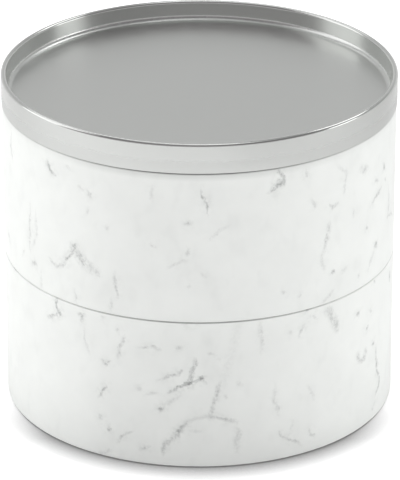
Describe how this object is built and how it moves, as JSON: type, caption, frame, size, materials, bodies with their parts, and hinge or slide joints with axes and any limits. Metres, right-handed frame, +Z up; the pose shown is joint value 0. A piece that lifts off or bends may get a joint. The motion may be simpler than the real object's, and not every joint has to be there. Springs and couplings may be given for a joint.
{
  "type": "stacking jewellery box",
  "caption": "Round jewellery box: lined marble-look tiers that stack, closed by a lift-off metal ring tray.",
  "frame": {"origin": "centre of the box on the plane that its feet stand on", "axes": "+Z up along the box's own axis, -Y towards the viewer and the ring cushion, +X to the viewer's right"},
  "size_m": [0.1846, 0.1846, 0.161],
  "materials": {
    "lower_marble": "satin white marble look",
    "upper_marble": "satin white marble look",
    "tray_metal": "satin nickel",
    "board": "pressed fibre board, sealed",
    "foot_rubber": "matte",
    "underside_felt": "felt",
    "lining_cloth": "linen weave",
    "pad_suede": "suede cloth",
    "roll_suede": "suede cloth"
  },
  "bodies": {
    "lower_tier": {"lower_shell": "lower_marble", "lower_floor_board": "board", "rubber_feet": "foot_rubber", "lower_wall_lining": "lining_cloth", "lower_floor_pad": "pad_suede", "lower_divider_long": "lining_cloth", "lower_divider_cross": "lining_cloth"},
    "upper_tier": {"upper_shell": "upper_marble", "upper_floor_board": "board", "upper_underside_felt": "underside_felt", "upper_wall_lining": "lining_cloth", "upper_floor_pad": "pad_suede", "upper_divider_long": "lining_cloth", "upper_divider_short": "lining_cloth", "ring_riser": "pad_suede", "ring_roll_1": "roll_suede", "ring_roll_2": "roll_suede", "ring_roll_3": "roll_suede", "ring_roll_4": "roll_suede", "ring_roll_5": "roll_suede", "ring_roll_6": "roll_suede"},
    "tray_lid": {"tray_pan": "tray_metal", "tray_core_board": "board", "tray_underside_felt": "underside_felt"}
  },
  "joints": [
    {"name": "upper_tier_lift", "type": "slide", "parent": "lower_tier", "child": "upper_tier", "axis": [0, 0, 1], "range_m": [0, 0.15]},
    {"name": "tray_lift", "type": "slide", "parent": "upper_tier", "child": "tray_lid", "axis": [0, 0, 1], "range_m": [0, 0.15]}
  ]
}
